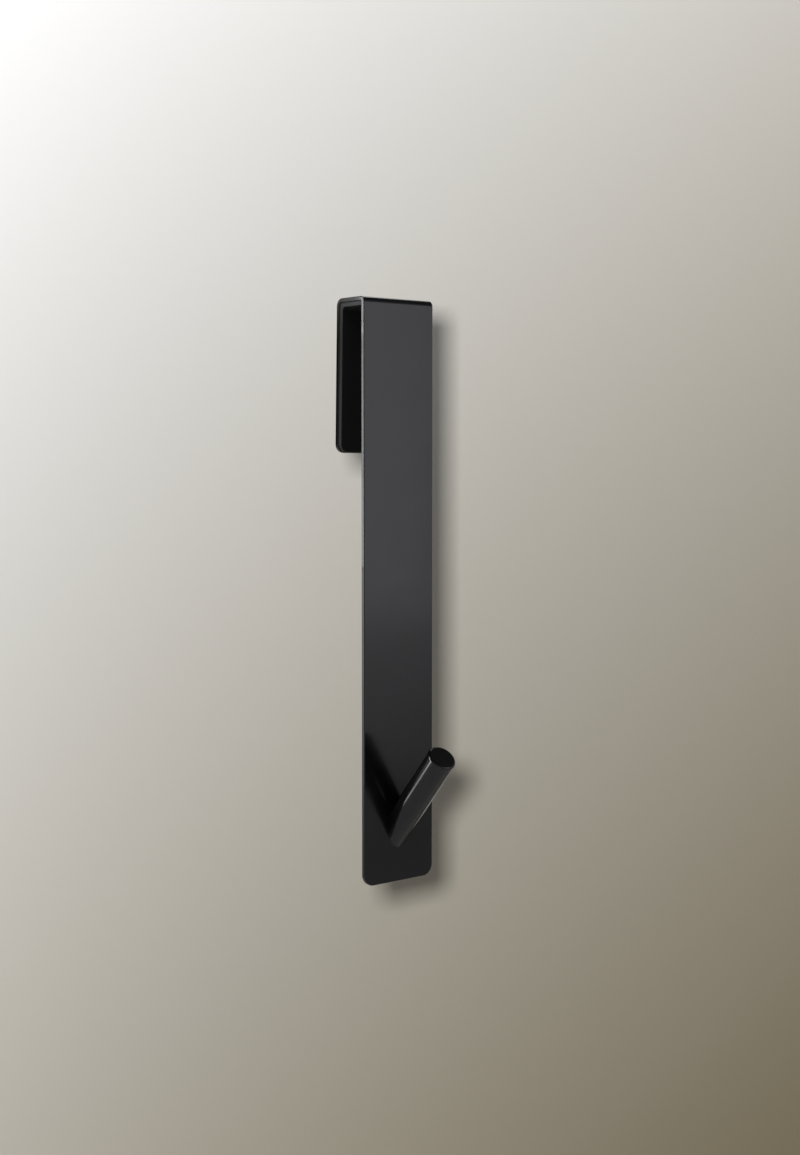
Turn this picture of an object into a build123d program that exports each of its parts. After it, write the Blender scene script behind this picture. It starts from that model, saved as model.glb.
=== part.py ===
"""Over-door hook: a flat strap bent over the door's top edge, a slanted peg and a soft liner.

The origin is the middle of the seat that rests on the door's top edge, at the middle of the
door's thickness. +Z is up, X runs along the strap's width, and the front leg faces -Y.
"""

import os
from math import cos, radians, sin, tan

from build123d import *

# Driving dimensions, in millimetres and degrees

# Strap: one flat bar, bent twice into a narrow hook
strap_width = 30.0
strap_thickness = 1.5
door_gap = 10.3
front_drop = 195.3
back_drop = 48.8
back_splay = 1.2
front_bend_radius = 0.5
back_bend_radius = 1.1
front_corner_radius = 4.0
back_corner_radius = 3.0
strap_edge_round = 0.25

# Liner: soft strip bonded under the bridge and down the back leg
liner_thickness = 1.5
liner_fold_radius = 1.2
liner_inset = 0.05
liner_edge_round = 0.15

# Peg: straight round bar welded to the front leg
peg_diameter = 10.0
peg_length = 34.9
peg_slope = 40.7
peg_base_height = 19.4
peg_end_round = 0.9

# Places that follow from the sizes

# Inner faces of the folded space, drawn in the plane across the strap as (y, z) points
front_wall_y = -door_gap / 2
front_face_y = front_wall_y - strap_thickness
splay = radians(back_splay)
back_leg = Axis((0, 0, 0), (0, sin(splay), -cos(splay)))


def down_the_back(start, depth):
    """The point that lies straight down the splayed back leg from start, at the height -depth."""
    return (start[0] + (start[1] + depth) * tan(splay), -depth)


seat_front = (front_wall_y, 0)
seat_back = (door_gap / 2, 0)
bridge_front = (front_wall_y, liner_thickness)
bridge_back = (
    door_gap / 2 + liner_thickness * (1 / cos(splay) - tan(splay)),
    liner_thickness,
)

# The strap, bent from one flat bar around the folded space
with BuildPart() as strap:
    with BuildSketch(Plane.YZ):
        with BuildLine():
            inner_path = FilletPolyline(
                (front_wall_y, -front_drop),
                bridge_front,
                bridge_back,
                down_the_back(bridge_back, back_drop),
                radius=[front_bend_radius, back_bend_radius],
            )
            offset(inner_path, amount=strap_thickness, side=Side.LEFT)
        make_face()
    extrude(amount=strap_width / 2, both=True)

    # Rounded corners at the two leg ends
    back_end = strap.faces().filter_by(back_leg).sort_by(Axis.Y)[-1]
    fillet(back_end.edges().filter_by(Axis.X, reverse=True), radius=back_corner_radius)
    front_end = strap.faces().sort_by(Axis.Z)[0]
    fillet(front_end.edges().filter_by(Axis.X, reverse=True), radius=front_corner_radius)

    # The edge round runs on from the front leg's end around both outlines of the strap
    front_end = strap.faces().sort_by(Axis.Z)[0]
    fillet(front_end.edges().filter_by(Axis.X), radius=strap_edge_round)

# The liner, bonded to the flat of the strap that the edge round leaves
liner_margin = strap_edge_round + liner_inset
liner_drop = back_drop - liner_margin
liner_edge = down_the_back(seat_back, liner_drop)
bonded_edge = down_the_back(bridge_back, liner_drop)

with BuildPart() as liner:
    with BuildSketch(Plane.YZ):
        with BuildLine():
            bonded_path = FilletPolyline(
                seat_front,
                bridge_front,
                bridge_back,
                bonded_edge,
                radius=[front_bend_radius, back_bend_radius],
            )
            seat_path = FilletPolyline(seat_front, seat_back, liner_edge, radius=liner_fold_radius)
            Line(bonded_path @ 1, seat_path @ 1)
        make_face()
    extrude(amount=strap_width / 2 - liner_margin, both=True)
    lower_end = liner.faces().sort_by(Axis.Z)[0]
    fillet(
        lower_end.edges().filter_by(Axis.X, reverse=True),
        radius=back_corner_radius - liner_margin,
    )

    # The edge round follows the outline of the face that touches the door
    lower_end = liner.faces().sort_by(Axis.Z)[0]
    fillet(lower_end.edges().filter_by(Axis.X).sort_by(Axis.Y)[0], radius=liner_edge_round)

# The peg, cut on the slant where it meets the front leg
peg_radius = peg_diameter / 2
peg_tilt = radians(peg_slope)
peg_axis = (0, -sin(peg_tilt), cos(peg_tilt))
peg_base = (0, front_face_y, peg_base_height - front_drop)
peg_root = 2 * peg_radius / tan(peg_tilt)
peg_plane = Plane(origin=peg_base, x_dir=(1, 0, 0), z_dir=peg_axis)
front_face = Plane(origin=peg_base, x_dir=(1, 0, 0), z_dir=(0, -1, 0))

with BuildPart() as peg:
    with BuildSketch(peg_plane.offset(-peg_root)):
        Circle(peg_radius)
    extrude(amount=peg_root + peg_length)
    split(bisect_by=front_face, keep=Keep.TOP)
    fillet(peg.edges().filter_by(GeomType.CIRCLE), radius=peg_end_round)

os.makedirs("parts", exist_ok=True)

strap.part.label = "strap"
export_step(strap.part, "parts/strap.step")

liner.part.label = "liner"
export_step(liner.part, "parts/liner.step")

peg.part.label = "peg"
export_step(peg.part, "parts/peg.step")
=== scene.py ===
"""Looks for the over-door hook: its finishes, and a small studio around it.

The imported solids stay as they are. The strap and the peg get a black coat, the liner gets
a rubber finish, and the stage has a floor, a backdrop, soft lights and the camera. Lengths
are in metres. Azimuth 0 is straight in front of the hook, and a positive one is to its right.
"""

from math import cos, radians, sin, tan

import bmesh
import bpy
from bpy.props import FloatProperty, FloatVectorProperty, PointerProperty
from mathutils import Matrix, Vector


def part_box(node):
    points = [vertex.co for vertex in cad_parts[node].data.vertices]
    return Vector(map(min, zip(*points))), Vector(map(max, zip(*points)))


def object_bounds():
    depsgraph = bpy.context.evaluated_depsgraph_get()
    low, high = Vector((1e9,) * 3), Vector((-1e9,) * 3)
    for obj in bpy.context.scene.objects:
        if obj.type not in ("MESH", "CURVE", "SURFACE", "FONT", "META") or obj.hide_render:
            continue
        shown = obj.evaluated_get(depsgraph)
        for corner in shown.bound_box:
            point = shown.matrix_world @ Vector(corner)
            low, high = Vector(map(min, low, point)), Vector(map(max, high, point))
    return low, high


bl_info = {
    "name": "Over-door hook looks",
    "version": (1, 0, 0),
    "blender": (4, 5, 0),
    "location": "View3D > Sidebar > Hook",
    "description": "Coats the strap and the peg, finishes the liner and sets a small studio",
    "category": "Material",
}

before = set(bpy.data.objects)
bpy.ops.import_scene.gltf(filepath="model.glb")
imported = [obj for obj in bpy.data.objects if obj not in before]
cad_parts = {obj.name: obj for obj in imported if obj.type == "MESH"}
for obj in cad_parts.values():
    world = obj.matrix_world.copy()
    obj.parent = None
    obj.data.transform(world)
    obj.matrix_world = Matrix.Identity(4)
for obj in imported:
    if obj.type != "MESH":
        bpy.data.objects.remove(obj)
cad_low, cad_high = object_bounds()
UP = Vector((0, 0, 1))

# Finishes: a tint is a share of the colour
COAT_PATCH_SIZE = 0.018
COAT_TINT = 0.25
COAT_IOR = 1.5
LINER_PATCH_SIZE = 0.012
LINER_TINT = 0.12
MATT = {"Roughness": 1.0, "Specular IOR Level": 0.0}

# Floor and backdrop: the backdrop reaches left and right of the camera's target
FLOOR_SIZE = 4.0
FLOOR_GLOW = (0.42, 0.42, 0.42, 1.0)
BACKDROP_LEFT = 0.40
BACKDROP_RIGHT = 0.20
BACKDROP_TOP = 0.16
# Reach of the backdrop's painted shade from its middle, to the upper left and the lower right
PAINTED_SHADE_REACH = 0.218
DISPLAY_GAMMA = 2.2

# Room: the soft light that the hook mirrors, and the plain colour that the camera sees
HORIZON_COLOUR = (0.42, 0.42, 0.42, 1.0)
HORIZON_ELEVATION = radians(2.0)
OVERHEAD_COLOUR = (0.07, 0.07, 0.07, 1.0)
OVERHEAD_ELEVATION = radians(35.0)
BACKGROUND_COLOUR = (0.78, 0.78, 0.78, 1.0)

# Lights: the power of one square metre of face at a strength of 1, and the lights' colours
FACE_POWER = 4.0
WHITE_LIGHT = (1.0, 1.0, 1.0)
PANEL_LIGHT = (0.97, 0.97, 1.05)
RIM_LIGHT = (0.85, 0.95, 1.2)

# Spots that lights look at: heights in the part's frame, and shifts from a box's middle
SEAT_HEIGHT = 0.0
EDGE_UPPER_HEIGHT = -0.047
EDGE_LOWER_HEIGHT = -0.1516
LINER_LEG_HEIGHT = -0.036
BRIDGE_SHIFT = 0.004
PEG_SHIFT = Vector((0, -0.0033, 0.0038))

# Dark card
CARD_COLOUR = (0.0, 0.0, 0.0, 1.0)
CARD_WIDTH = 0.14
CARD_HEIGHT = 0.066
CARD_DISTANCE = 0.10
CARD_AZIMUTH = radians(-131.0)
CARD_ELEVATION = radians(-1.6)


class HookCoatSettings(bpy.types.PropertyGroup):
    """Black coat on the strap and the peg"""

    colour: FloatVectorProperty(
        name="Colour",
        description="Colour of the coat",
        subtype="COLOR",
        default=(0.0040, 0.0040, 0.0046),
        min=0.0,
        max=1.0,
    )
    gloss_roughness: FloatProperty(
        name="Roughness",
        description="Roughness of the clean coat",
        subtype="FACTOR",
        default=0.14,
        min=0.0,
        max=1.0,
    )
    smudge_roughness: FloatProperty(
        name="Smudge roughness",
        description="Roughness where hands have dulled the coat",
        subtype="FACTOR",
        default=0.18,
        min=0.0,
        max=1.0,
    )
    peel_size: FloatProperty(
        name="Peel size",
        description="Distance between the low waves of the dried coat",
        unit="LENGTH",
        default=0.0016,
        min=0.0001,
    )
    peel_depth: FloatProperty(
        name="Peel depth",
        description="Height of the low waves of the dried coat",
        unit="LENGTH",
        default=0.0000015,
        min=0.0,
    )


class HookLinerSettings(bpy.types.PropertyGroup):
    """Rubber liner inside the fold"""

    colour: FloatVectorProperty(
        name="Colour",
        description="Colour of the rubber",
        subtype="COLOR",
        default=(0.009, 0.009, 0.0093),
        min=0.0,
        max=1.0,
    )
    roughness: FloatProperty(
        name="Roughness",
        description="Roughness of the rubber",
        subtype="FACTOR",
        default=0.60,
        min=0.0,
        max=1.0,
    )
    grain_size: FloatProperty(
        name="Grain size",
        description="Distance between the grains of the rubber's skin",
        unit="LENGTH",
        default=0.0004,
        min=0.0001,
    )
    grain_depth: FloatProperty(
        name="Grain depth",
        description="Height of the grains of the rubber's skin",
        unit="LENGTH",
        default=0.00002,
        min=0.0,
    )


class HookStageSettings(bpy.types.PropertyGroup):
    """Floor, backdrop and camera"""

    camera_azimuth: FloatProperty(
        name="Camera azimuth",
        description="Angle of the camera round the hook, from straight in front",
        subtype="ANGLE",
        default=radians(-39.5),
    )
    camera_elevation: FloatProperty(
        name="Camera elevation",
        description="Angle of the camera above the point it looks at",
        subtype="ANGLE",
        default=radians(3.74),
    )
    camera_distance: FloatProperty(
        name="Camera distance",
        description="Distance from the camera to the point it looks at",
        unit="LENGTH",
        default=0.5796,
        min=0.1,
    )
    camera_target: FloatVectorProperty(
        name="Camera target",
        description="Point that the camera looks at",
        subtype="TRANSLATION",
        unit="LENGTH",
        default=(0.0005, -0.00665, -0.0910),
    )
    camera_lens: FloatProperty(
        name="Lens",
        description="Focal length of the camera in millimetres",
        unit="CAMERA",
        default=53.2,
        min=1.0,
    )
    floor_colour: FloatVectorProperty(
        name="Floor",
        description="Colour of the floor",
        subtype="COLOR",
        default=(0.80, 0.80, 0.80),
        min=0.0,
        max=1.0,
    )
    floor_drop: FloatProperty(
        name="Floor drop",
        description="Depth of the floor below the hook's lower end",
        unit="LENGTH",
        default=0.30,
        min=0.0,
    )
    backdrop_gap: FloatProperty(
        name="Backdrop gap",
        description="Distance from the camera's target to the backdrop behind the hook",
        unit="LENGTH",
        default=0.18,
        min=0.05,
    )
    # Unshaded end of the backdrop's painted shade, at its upper left
    backdrop_unshaded: FloatVectorProperty(
        name="Backdrop light",
        description="Colour of the backdrop at its upper left",
        subtype="COLOR_GAMMA",
        default=(0.955, 0.955, 0.955),
        min=0.0,
        max=1.0,
    )
    # Painted shade: the backdrop's colour darkens to this at its lower right
    backdrop_painted_shade: FloatVectorProperty(
        name="Backdrop dark",
        description="Colour of the backdrop at its lower right",
        subtype="COLOR_GAMMA",
        default=(0.42, 0.39, 0.325),
        min=0.0,
        max=1.0,
    )


# Shader trees


def add_node(tree, kind, place, sockets=None, **settings):
    """Add a shader node to a tree, with its settings and then its sockets' values."""
    node = tree.nodes.new(kind)
    node.location = place
    for name, value in settings.items():
        setattr(node, name, value)
    for socket, value in (sockets or {}).items():
        node.inputs[socket].default_value = value
    return node


def new_material(name, sockets):
    """A material whose tree ends in a Principled shader with these sockets' values."""
    material = bpy.data.materials.new(name)
    material.use_nodes = True
    tree = material.node_tree
    tree.nodes.clear()
    output = add_node(tree, "ShaderNodeOutputMaterial", (600, 0))
    shader = add_node(tree, "ShaderNodeBsdfPrincipled", (300, 0), sockets)
    tree.links.new(shader.outputs["BSDF"], output.inputs["Surface"])
    return material, tree, shader


def new_group(name, inputs, outputs):
    """A shader node group with a place, value inputs and value outputs, and its two ends."""
    group = bpy.data.node_groups.new(name, "ShaderNodeTree")
    group.interface.new_socket("Vector", in_out="INPUT", socket_type="NodeSocketVector")
    for socket_name, default in inputs.items():
        socket = group.interface.new_socket(
            socket_name, in_out="INPUT", socket_type="NodeSocketFloat"
        )
        socket.default_value = default
    for socket_name in outputs:
        group.interface.new_socket(
            socket_name, in_out="OUTPUT", socket_type="NodeSocketFloat"
        )
    start = add_node(group, "NodeGroupInput", (-600, 0))
    end = add_node(group, "NodeGroupOutput", (600, 0))
    return group, start, end


# Finishes of the hook


def skin_group():
    """Fine waves and wide soft patches, for the coat and the rubber alike."""
    name = "hook_skin"
    if name in bpy.data.node_groups:
        return bpy.data.node_groups[name]
    group, start, end = new_group(
        name, {"Wave Scale": 600.0, "Patch Scale": 60.0}, ("Waves", "Patches")
    )
    waves = add_node(
        group, "ShaderNodeTexNoise", (-200, 150), {"Detail": 2.0, "Roughness": 0.45}
    )
    patches = add_node(
        group, "ShaderNodeTexNoise", (-200, -150), {"Detail": 3.0, "Distortion": 0.6}
    )
    spread = add_node(
        group, "ShaderNodeMapRange", (100, -150), {"From Min": 0.35, "From Max": 0.70}
    )
    links = group.links
    links.new(start.outputs["Vector"], waves.inputs["Vector"])
    links.new(start.outputs["Wave Scale"], waves.inputs["Scale"])
    links.new(start.outputs["Vector"], patches.inputs["Vector"])
    links.new(start.outputs["Patch Scale"], patches.inputs["Scale"])
    links.new(patches.outputs["Fac"], spread.inputs["Value"])
    links.new(waves.outputs["Fac"], end.inputs["Waves"])
    links.new(spread.outputs["Result"], end.inputs["Patches"])
    return group


def add_skin(tree, wave_size, patch_size):
    """Place the skin group in a material, reading Object coordinates."""
    place = add_node(tree, "ShaderNodeTexCoord", (-900, 0))
    skin = add_node(
        tree,
        "ShaderNodeGroup",
        (-650, 0),
        {"Wave Scale": 1 / wave_size, "Patch Scale": 1 / patch_size},
        node_tree=skin_group(),
    )
    tree.links.new(place.outputs["Object"], skin.inputs["Vector"])
    return skin


def add_tint(tree, mask, colour, spread):
    """A colour that varies by a share of itself between the mask's ends."""
    low = (*(channel * (1 - spread) for channel in colour), 1.0)
    high = (*(channel * (1 + spread) for channel in colour), 1.0)
    tint = add_node(tree, "ShaderNodeMix", (0, 250), {"A": low, "B": high}, data_type="RGBA")
    tree.links.new(mask, tint.inputs["Factor"])
    return tint.outputs["Result"]


def add_range(tree, mask, low, high):
    """A value that runs from low to high with the mask."""
    spread = add_node(tree, "ShaderNodeMapRange", (0, 0), {"To Min": low, "To Max": high})
    tree.links.new(mask, spread.inputs["Value"])
    return spread.outputs["Result"]


def add_bump(tree, height, depth):
    """A normal from a height mask of the given depth."""
    bump = add_node(tree, "ShaderNodeBump", (0, -250), {"Strength": 1.0, "Distance": depth})
    tree.links.new(height, bump.inputs["Height"])
    return bump.outputs["Normal"]


def black_coat(settings):
    """Black coat on steel, shared by the strap and the peg: low waves and faint smudges."""
    name = "coated_steel"
    if name in bpy.data.materials:
        return bpy.data.materials[name]
    material, tree, shader = new_material(name, {"IOR": COAT_IOR})
    skin = add_skin(tree, settings.peel_size, COAT_PATCH_SIZE)
    patches = skin.outputs["Patches"]
    tint = add_tint(tree, patches, settings.colour, COAT_TINT)
    roughness = add_range(tree, patches, settings.gloss_roughness, settings.smudge_roughness)
    normal = add_bump(tree, skin.outputs["Waves"], settings.peel_depth)
    tree.links.new(tint, shader.inputs["Base Color"])
    tree.links.new(roughness, shader.inputs["Roughness"])
    tree.links.new(normal, shader.inputs["Normal"])
    return material


def liner_rubber(settings):
    """Matt dark rubber with a fine grain."""
    material, tree, shader = new_material("soft_rubber", {"Roughness": settings.roughness})
    skin = add_skin(tree, settings.grain_size, LINER_PATCH_SIZE)
    tint = add_tint(tree, skin.outputs["Patches"], settings.colour, LINER_TINT)
    normal = add_bump(tree, skin.outputs["Waves"], settings.grain_depth)
    tree.links.new(tint, shader.inputs["Base Color"])
    tree.links.new(normal, shader.inputs["Normal"])
    return material


def dress(node_name, material):
    """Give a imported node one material."""
    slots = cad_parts[node_name].data.materials
    slots.clear()
    slots.append(material)


# Finishes of the stage


def floor_paint(colour):
    """Pale matt paint that looks paler to the camera, with no more light on the hook."""
    material, tree, shader = new_material(
        "stage_floor", {"Base Color": (*colour, 1.0), "Emission Color": FLOOR_GLOW, **MATT}
    )
    path = add_node(tree, "ShaderNodeLightPath", (0, 0))
    tree.links.new(path.outputs["Is Camera Ray"], shader.inputs["Emission Strength"])
    return material


def card_paint():
    """Matt black paint."""
    return new_material("stage_card", {"Base Color": CARD_COLOUR, **MATT})[0]


def add_painted_shade(tree, place, light, dark, start, end):
    """Painted shade: a colour that runs from light at one point to dark at another, evenly to the
    eye.
    """
    run = end - start
    slope = run / run.length_squared
    offset = start.dot(slope)
    along = add_node(
        tree, "ShaderNodeVectorMath", (-650, 0), {1: slope}, operation="DOT_PRODUCT"
    )
    shade = add_node(
        tree, "ShaderNodeMapRange", (-400, 0), {"From Min": offset, "From Max": offset + 1}
    )
    ends = {"A": (*light, 1.0), "B": (*dark, 1.0)}
    colour = add_node(tree, "ShaderNodeMix", (-150, 0), ends, data_type="RGBA")
    linear = add_node(tree, "ShaderNodeGamma", (50, 0), {"Gamma": DISPLAY_GAMMA})
    tree.links.new(place, along.inputs[0])
    tree.links.new(along.outputs["Value"], shade.inputs["Value"])
    tree.links.new(shade.outputs["Result"], colour.inputs["Factor"])
    tree.links.new(colour.outputs["Result"], linear.inputs["Color"])
    return linear.outputs["Color"]


def add_painted_light_gain(tree, place, spot, height):
    """Painted light: a colour factor that undoes how a lamp's light falls off round its brightest
    spot on a sheet.

    At a distance r from the spot, a lamp at this height gives 1 / (1 + (r / height)^2)^2.
    """
    apart = add_node(
        tree, "ShaderNodeVectorMath", (-650, -300), {1: spot}, operation="DISTANCE"
    )
    square = add_node(tree, "ShaderNodeMath", (-450, -300), {1: 2.0}, operation="POWER")
    ratio = {1: 1 / height**2, 2: 1.0}
    reach = add_node(tree, "ShaderNodeMath", (-250, -300), ratio, operation="MULTIPLY_ADD")
    gain = add_node(tree, "ShaderNodeMath", (-50, -300), {1: 2.0}, operation="POWER")
    tree.links.new(place, apart.inputs[0])
    tree.links.new(apart.outputs["Value"], square.inputs[0])
    tree.links.new(square.outputs["Value"], reach.inputs[0])
    tree.links.new(reach.outputs["Value"], gain.inputs[0])
    return gain.outputs["Value"]


def backdrop_paper(light, dark, start, end, lamp_spot, lamp_height):
    """Paper under its lamp, with painted shade that darkens it from one point to another and
    painted light that evens out the lamp's fall-off; it is clear from behind.
    """
    material, tree, shader = new_material("stage_backdrop", MATT)
    place = add_node(tree, "ShaderNodeTexCoord", (-900, 0)).outputs["Object"]
    shade = add_painted_shade(tree, place, light, dark, start, end)
    gain = add_painted_light_gain(tree, place, lamp_spot, lamp_height)
    # Painted shade times painted light, which evens out the wall lamp's fall-off
    even = add_node(tree, "ShaderNodeVectorMath", (150, -150), operation="SCALE")
    tree.links.new(shade, even.inputs[0])
    tree.links.new(gain, even.inputs["Scale"])
    tree.links.new(even.outputs["Vector"], shader.inputs["Base Color"])

    side = add_node(tree, "ShaderNodeNewGeometry", (100, 250))
    clear = add_node(tree, "ShaderNodeBsdfTransparent", (300, 250))
    choice = add_node(tree, "ShaderNodeMixShader", (600, 200))
    output = tree.get_output_node("ALL")
    output.location = (850, 0)
    tree.links.new(side.outputs["Backfacing"], choice.inputs["Fac"])
    tree.links.new(shader.outputs["BSDF"], choice.inputs[1])
    tree.links.new(clear.outputs["BSDF"], choice.inputs[2])
    tree.links.new(choice.outputs["Shader"], output.inputs["Surface"])
    return material


def studio_world():
    """Soft room, pale round the horizon and dark overhead, but one pale colour to the camera."""
    world = bpy.data.worlds.new("studio")
    world.use_nodes = True
    tree = world.node_tree
    tree.nodes.clear()
    ray = add_node(tree, "ShaderNodeTexCoord", (-900, 0))
    parts = add_node(tree, "ShaderNodeSeparateXYZ", (-650, 0))
    rise = add_node(
        tree,
        "ShaderNodeMapRange",
        (-400, 0),
        {"From Min": sin(HORIZON_ELEVATION), "From Max": sin(OVERHEAD_ELEVATION)},
        interpolation_type="SMOOTHSTEP",
    )
    ends = {"A": HORIZON_COLOUR, "B": OVERHEAD_COLOUR}
    room = add_node(tree, "ShaderNodeMix", (-150, 0), ends, data_type="RGBA")
    path = add_node(tree, "ShaderNodeLightPath", (-150, 300))
    seen = add_node(tree, "ShaderNodeMix", (50, 0), {"B": BACKGROUND_COLOUR}, data_type="RGBA")
    light = add_node(tree, "ShaderNodeBackground", (250, 0))
    output = add_node(tree, "ShaderNodeOutputWorld", (450, 0))
    tree.links.new(ray.outputs["Generated"], parts.inputs["Vector"])
    tree.links.new(parts.outputs["Z"], rise.inputs["Value"])
    tree.links.new(rise.outputs["Result"], room.inputs["Factor"])
    tree.links.new(path.outputs["Is Camera Ray"], seen.inputs["Factor"])
    tree.links.new(room.outputs["Result"], seen.inputs["A"])
    tree.links.new(seen.outputs["Result"], light.inputs["Color"])
    tree.links.new(light.outputs["Background"], output.inputs["Surface"])
    return world


# Things on the stage


def stage_object(name, bm, material):
    """Finish a bmesh as an object of the stage."""
    mesh = bpy.data.meshes.new(name)
    bm.to_mesh(mesh)
    bm.free()
    mesh.materials.append(material)
    stage_piece = bpy.data.objects.new(name, mesh)
    bpy.context.collection.objects.link(stage_piece)
    return stage_piece


def direction(azimuth, elevation):
    """Unit vector from the hook towards an azimuth and an elevation, in radians."""
    return Vector(
        (sin(azimuth) * cos(elevation), -cos(azimuth) * cos(elevation), sin(elevation))
    )


def looking(place, target):
    """Matrix of a thing that stands at a place and looks at a target, with the world's up."""
    turn = (target - place).to_track_quat("-Z", "Y")
    return Matrix.Translation(place) @ turn.to_matrix().to_4x4()


def soft_light(
    name,
    target,
    azimuth,
    elevation,
    distance,
    size,
    strength,
    turn=0.0,
    spread=180.0,
    colour=WHITE_LIGHT,
):
    """A rectangular light that looks at a target from a direction, with its angles in degrees.

    The strength sets the brightness of its face at any size. A narrow spread brightens the
    face at the same power, so the power comes down with the spread.
    """
    lamp = bpy.data.lights.new(name, "AREA")
    lamp.shape = "RECTANGLE"
    lamp.size, lamp.size_y = size
    lamp.spread = radians(spread)
    lamp.color = colour
    half = lamp.spread / 2
    lamp.energy = FACE_POWER * lamp.size * lamp.size_y * strength * (1 - half / tan(half))
    light = bpy.data.objects.new(name, lamp)
    bpy.context.collection.objects.link(light)
    place = target + direction(radians(azimuth), radians(elevation)) * distance
    light.matrix_world = looking(place, target) @ Matrix.Rotation(radians(turn), 4, "Z")
    light.visible_camera = False
    return light


def link_light(light, pieces, state):
    """Let a light reach these pieces alone (INCLUDE), or all but these (EXCLUDE)."""
    reach = bpy.data.collections.new(light.name + "_reach")
    for piece in pieces:
        reach.objects.link(piece)
    for linked in reach.collection_objects:
        linked.light_linking.link_state = state
    light.light_linking.receiver_collection = reach


def floor_height(stage):
    """Height of the floor, below the hook's lower end."""
    return cad_low.z - stage.floor_drop


def lay_floor(stage):
    """Plain pale floor."""
    bm = bmesh.new()
    bmesh.ops.create_grid(bm, x_segments=1, y_segments=1, size=FLOOR_SIZE / 2)
    bmesh.ops.translate(bm, vec=(0, 0, floor_height(stage)), verts=bm.verts)
    return stage_object("floor", bm, floor_paint(stage.floor_colour))


def brightest_spot(lamp, target, centre, ahead):
    """Middle of a lamp's light on the backdrop, and the lamp's height over the backdrop.

    It lies halfway between the point straight ahead of the lamp and the point it looks at.
    """
    place = lamp.matrix_world.translation
    height = (centre - place).dot(ahead)
    look = target - place
    straight = place + ahead * height
    aimed = place + look * height / look.dot(ahead)
    return (straight + aimed) / 2, height


def hang_backdrop(stage):
    """Paper from the floor up, square to the camera's heading, with a lamp beside the camera.

    The lamp lights the backdrop alone, and the hook throws its shadow there.
    """
    target = Vector(stage.camera_target)
    back = direction(stage.camera_azimuth, stage.camera_elevation)
    ahead = -direction(stage.camera_azimuth, 0)
    left = UP.cross(ahead).normalized()
    centre = target - back * stage.backdrop_gap / cos(stage.camera_elevation)
    lamp = soft_light(
        "wall_lamp",
        target,
        azimuth=-42.0,
        elevation=5.94,
        distance=stage.camera_distance,
        size=(0.036, 0.036),
        strength=858.0,
    )
    # The painted shade runs from the backdrop's upper left corner to its lower right
    corner = (left + UP) * PAINTED_SHADE_REACH
    paper = backdrop_paper(
        stage.backdrop_unshaded,
        stage.backdrop_painted_shade,
        centre + corner,
        centre - corner,
        *brightest_spot(lamp, target, centre, ahead),
    )

    foot_left = centre + left * BACKDROP_LEFT
    foot_right = centre - left * BACKDROP_RIGHT
    foot_left.z = floor_height(stage)
    foot_right.z = floor_height(stage)
    bm = bmesh.new()
    foot = bm.edges.new((bm.verts.new(foot_left), bm.verts.new(foot_right)))
    raised = bmesh.ops.extrude_edge_only(bm, edges=[foot])
    tops = [item for item in raised["geom"] if isinstance(item, bmesh.types.BMVert)]
    bmesh.ops.translate(bm, vec=UP * (BACKDROP_TOP - foot_left.z), verts=tops)
    backdrop = stage_object("backdrop", bm, paper)
    if backdrop.data.polygons[0].normal.dot(ahead) > 0:
        backdrop.data.flip_normals()
    link_light(lamp, (backdrop,), "INCLUDE")
    return backdrop


def front_panel(name, elevation, height, strength):
    """One of the cool panels at the front right, which the flat of the strap mirrors."""
    return soft_light(
        name,
        (cad_low + cad_high) / 2,
        azimuth=28.5,
        elevation=elevation,
        distance=0.61,
        size=(0.322, height),
        strength=strength,
        colour=PANEL_LIGHT,
    )


def light_room(backdrop, floor):
    """Lights of the room, which spare the backdrop and the floor, and the floor's own lamp.

    The key spares the peg too, whose mirror image in the strap stays dark.
    """
    middle = (cad_low + cad_high) / 2
    room_lights = (
        soft_light(
            "rear_fill",
            middle,
            azimuth=140.0,
            elevation=50.0,
            distance=0.9,
            size=(0.4, 0.4),
            strength=3.0,
        ),
        front_panel("front_right_top", elevation=33.0, height=0.23, strength=0.08),
        front_panel("front_right_high", elevation=8.0, height=0.31, strength=0.71),
        front_panel("front_right_low", elevation=-11.3, height=0.10, strength=0.215),
    )
    for light in room_lights:
        link_light(light, (backdrop, floor), "EXCLUDE")
    key = soft_light(
        "key", middle, azimuth=-95.0, elevation=54.0, distance=0.9, size=(0.45, 0.45), strength=6.5
    )
    link_light(key, (backdrop, floor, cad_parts["peg"]), "EXCLUDE")
    floor_lamp = soft_light(
        "floor_lamp",
        middle,
        azimuth=-95.0,
        elevation=75.0,
        distance=3.2,
        size=(1.0, 1.0),
        strength=11.5,
    )
    link_light(floor_lamp, (floor,), "INCLUDE")


def left_edge(height):
    """Point on the left front edge of the strap, at a height."""
    strap_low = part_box("strap")[0]
    return Vector((strap_low.x, strap_low.y, height))


def edge_strip(name, height, length, strength, width=0.006, azimuth=-139.0, elevation=0.0):
    """A narrow lamp at the left rear that the strap's left edge mirrors round one height."""
    return soft_light(
        name,
        left_edge(height),
        azimuth=azimuth,
        elevation=elevation,
        distance=0.04,
        size=(width, length),
        strength=strength,
        spread=40.0,
    )


def light_left_edge():
    """Strips for the strap alone, which draw its left edge, brightest at the top."""
    strips = (
        edge_strip("left_strip_high", EDGE_UPPER_HEIGHT, length=0.085, strength=6.0),
        edge_strip(
            "left_strip_top",
            SEAT_HEIGHT,
            length=0.0185,
            strength=14.0,
            width=0.0045,
            azimuth=-138.2,
            elevation=4.7,
        ),
        edge_strip(
            "left_strip_low", EDGE_LOWER_HEIGHT, length=0.1157, strength=4.8, elevation=6.0
        ),
    )
    for strip in strips:
        link_light(strip, (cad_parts["strap"],), "INCLUDE")


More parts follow.
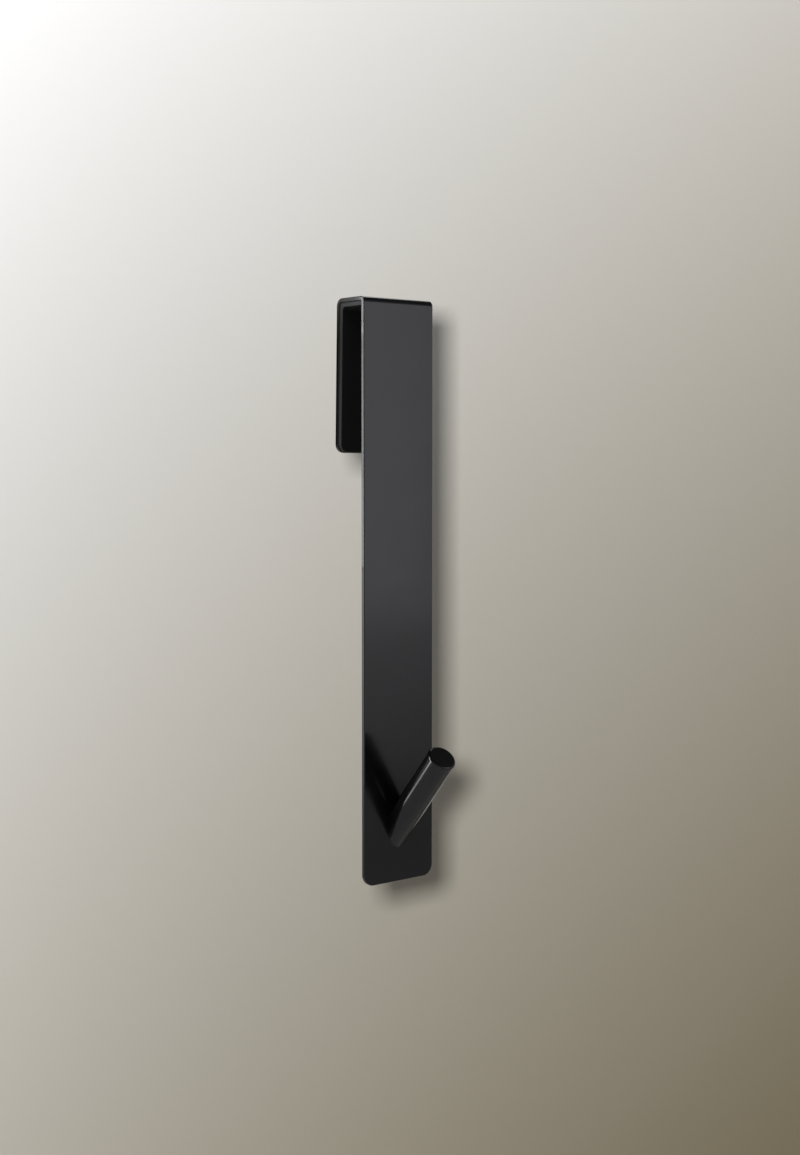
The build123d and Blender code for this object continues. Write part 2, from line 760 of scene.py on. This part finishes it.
def light_peg():
    """Lamps for the peg alone: a line along its left side, its end's rim and its right side."""
    low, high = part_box("peg")
    middle = (low + high) / 2
    lamps = (
        soft_light(
            "peg_strip",
            middle + PEG_SHIFT,
            azimuth=-131.0,
            elevation=-15.0,
            distance=0.08,
            size=(0.010, 0.050),
            strength=3.1,
            turn=-39.0,
        ),
        soft_light(
            "peg_tip",
            Vector((0, low.y, high.z)),
            azimuth=-126.0,
            elevation=6.0,
            distance=0.08,
            size=(0.018, 0.07),
            strength=7.0,
        ),
        soft_light(
            "peg_rim",
            middle,
            azimuth=120.0,
            elevation=-28.0,
            distance=0.15,
            size=(0.06, 0.06),
            strength=0.17,
            colour=RIM_LIGHT,
        ),
    )
    for lamp in lamps:
        link_light(lamp, (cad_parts["peg"],), "INCLUDE")


def light_liner():
    """Lamps for the liner alone: its edge under the bridge and its edge down the back leg."""
    liner_low, liner_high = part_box("liner")
    lamps = (
        soft_light(
            "liner_bridge",
            left_edge(SEAT_HEIGHT),
            azimuth=-138.0,
            elevation=32.0,
            distance=0.04,
            size=(0.02, 0.012),
            strength=24.0,
            spread=50.0,
        ),
        soft_light(
            "liner_leg",
            Vector((liner_low.x, liner_high.y, LINER_LEG_HEIGHT)),
            azimuth=-135.0,
            elevation=2.0,
            distance=0.05,
            size=(0.02, 0.04),
            strength=1.5,
        ),
    )
    for lamp in lamps:
        link_light(lamp, (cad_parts["liner"],), "INCLUDE")


def light_bridge():
    """A short strip for the strap alone, which draws the edge of its bridge."""
    liner_low, liner_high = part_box("liner")
    middle = (liner_low.y + liner_high.y) / 2
    strip = soft_light(
        "bridge_strip",
        Vector((liner_low.x, middle + BRIDGE_SHIFT, SEAT_HEIGHT)),
        azimuth=-140.5,
        elevation=9.2,
        distance=0.08,
        size=(0.010, 0.008),
        strength=1.1,
    )
    link_light(strip, (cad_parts["strap"],), "INCLUDE")


def stand_dark_card():
    """Dark card at the left rear, unseen by the camera, that keeps the back leg's edge dark."""
    strap_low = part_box("strap")[0]
    liner_low, liner_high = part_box("liner")
    edge = Vector((strap_low.x, liner_high.y, (liner_low.z + liner_high.z) / 2))
    place = edge + direction(CARD_AZIMUTH, CARD_ELEVATION) * CARD_DISTANCE
    bm = bmesh.new()
    bmesh.ops.create_grid(bm, x_segments=1, y_segments=1, size=0.5)
    bmesh.ops.scale(bm, vec=(CARD_WIDTH, CARD_HEIGHT, 1), verts=bm.verts)
    bmesh.ops.transform(bm, matrix=looking(place, edge), verts=bm.verts)
    card = stage_object("dark_card", bm, card_paint())
    card.visible_camera = False
    card.visible_diffuse = False
    card.visible_shadow = False


def set_camera(context, stage):
    """Camera at its azimuth and elevation round the target."""
    lens = bpy.data.cameras.new("camera")
    lens.lens = stage.camera_lens
    camera = bpy.data.objects.new("camera", lens)
    context.collection.objects.link(camera)
    target = Vector(stage.camera_target)
    back = direction(stage.camera_azimuth, stage.camera_elevation)
    camera.matrix_world = looking(target + back * stage.camera_distance, target)
    context.scene.camera = camera


# Operators and panel


class HOOK_OT_coat_strap(bpy.types.Operator):
    """Give the strap its black coat"""

    bl_idname = "hook.coat_strap"
    bl_label = "Coat the strap"

    def execute(self, context):
        dress("strap", black_coat(context.scene.hook_coat))
        return {"FINISHED"}


class HOOK_OT_coat_peg(bpy.types.Operator):
    """Give the peg its black coat"""

    bl_idname = "hook.coat_peg"
    bl_label = "Coat the peg"

    def execute(self, context):
        dress("peg", black_coat(context.scene.hook_coat))
        return {"FINISHED"}


class HOOK_OT_finish_liner(bpy.types.Operator):
    """Give the liner its rubber finish"""

    bl_idname = "hook.finish_liner"
    bl_label = "Finish the liner"

    def execute(self, context):
        dress("liner", liner_rubber(context.scene.hook_liner))
        return {"FINISHED"}


class HOOK_OT_set_stage(bpy.types.Operator):
    """Set the floor, the backdrop, the lights and the camera"""

    bl_idname = "hook.set_stage"
    bl_label = "Set the stage"

    def execute(self, context):
        stage = context.scene.hook_stage
        floor = lay_floor(stage)
        backdrop = hang_backdrop(stage)
        light_room(backdrop, floor)
        light_left_edge()
        light_peg()
        light_liner()
        light_bridge()
        stand_dark_card()
        context.scene.world = studio_world()
        set_camera(context, stage)
        context.scene.view_settings.view_transform = "Standard"
        return {"FINISHED"}


class HOOK_PT_looks(bpy.types.Panel):
    """Panel with the hook's finishes and its stage"""

    bl_idname = "HOOK_PT_looks"
    bl_label = "Over-door hook"
    bl_space_type = "VIEW_3D"
    bl_region_type = "UI"
    bl_category = "Hook"

    def draw(self, context):
        scene = context.scene
        for title, settings, operators in (
            ("Coat", scene.hook_coat, (HOOK_OT_coat_strap, HOOK_OT_coat_peg)),
            ("Liner", scene.hook_liner, (HOOK_OT_finish_liner,)),
            ("Stage", scene.hook_stage, (HOOK_OT_set_stage,)),
        ):
            box = self.layout.box()
            box.label(text=title)
            for name in settings.__annotations__:
                box.prop(settings, name)
            for operator in operators:
                box.operator(operator.bl_idname)


CLASSES = (
    HookCoatSettings,
    HookLinerSettings,
    HookStageSettings,
    HOOK_OT_coat_strap,
    HOOK_OT_coat_peg,
    HOOK_OT_finish_liner,
    HOOK_OT_set_stage,
    HOOK_PT_looks,
)


def register():
    """Register the classes and hang their settings on the scene."""
    for cls in CLASSES:
        bpy.utils.register_class(cls)
    bpy.types.Scene.hook_coat = PointerProperty(type=HookCoatSettings)
    bpy.types.Scene.hook_liner = PointerProperty(type=HookLinerSettings)
    bpy.types.Scene.hook_stage = PointerProperty(type=HookStageSettings)


def unregister():
    """Take the settings off the scene and unregister the classes."""
    del bpy.types.Scene.hook_stage
    del bpy.types.Scene.hook_liner
    del bpy.types.Scene.hook_coat
    for cls in reversed(CLASSES):
        bpy.utils.unregister_class(cls)


def main():
    """Run the operators in order."""
    register()
    bpy.ops.hook.coat_strap()
    bpy.ops.hook.coat_peg()
    bpy.ops.hook.finish_liner()
    bpy.ops.hook.set_stage()


if __name__ == "__main__":
    main()
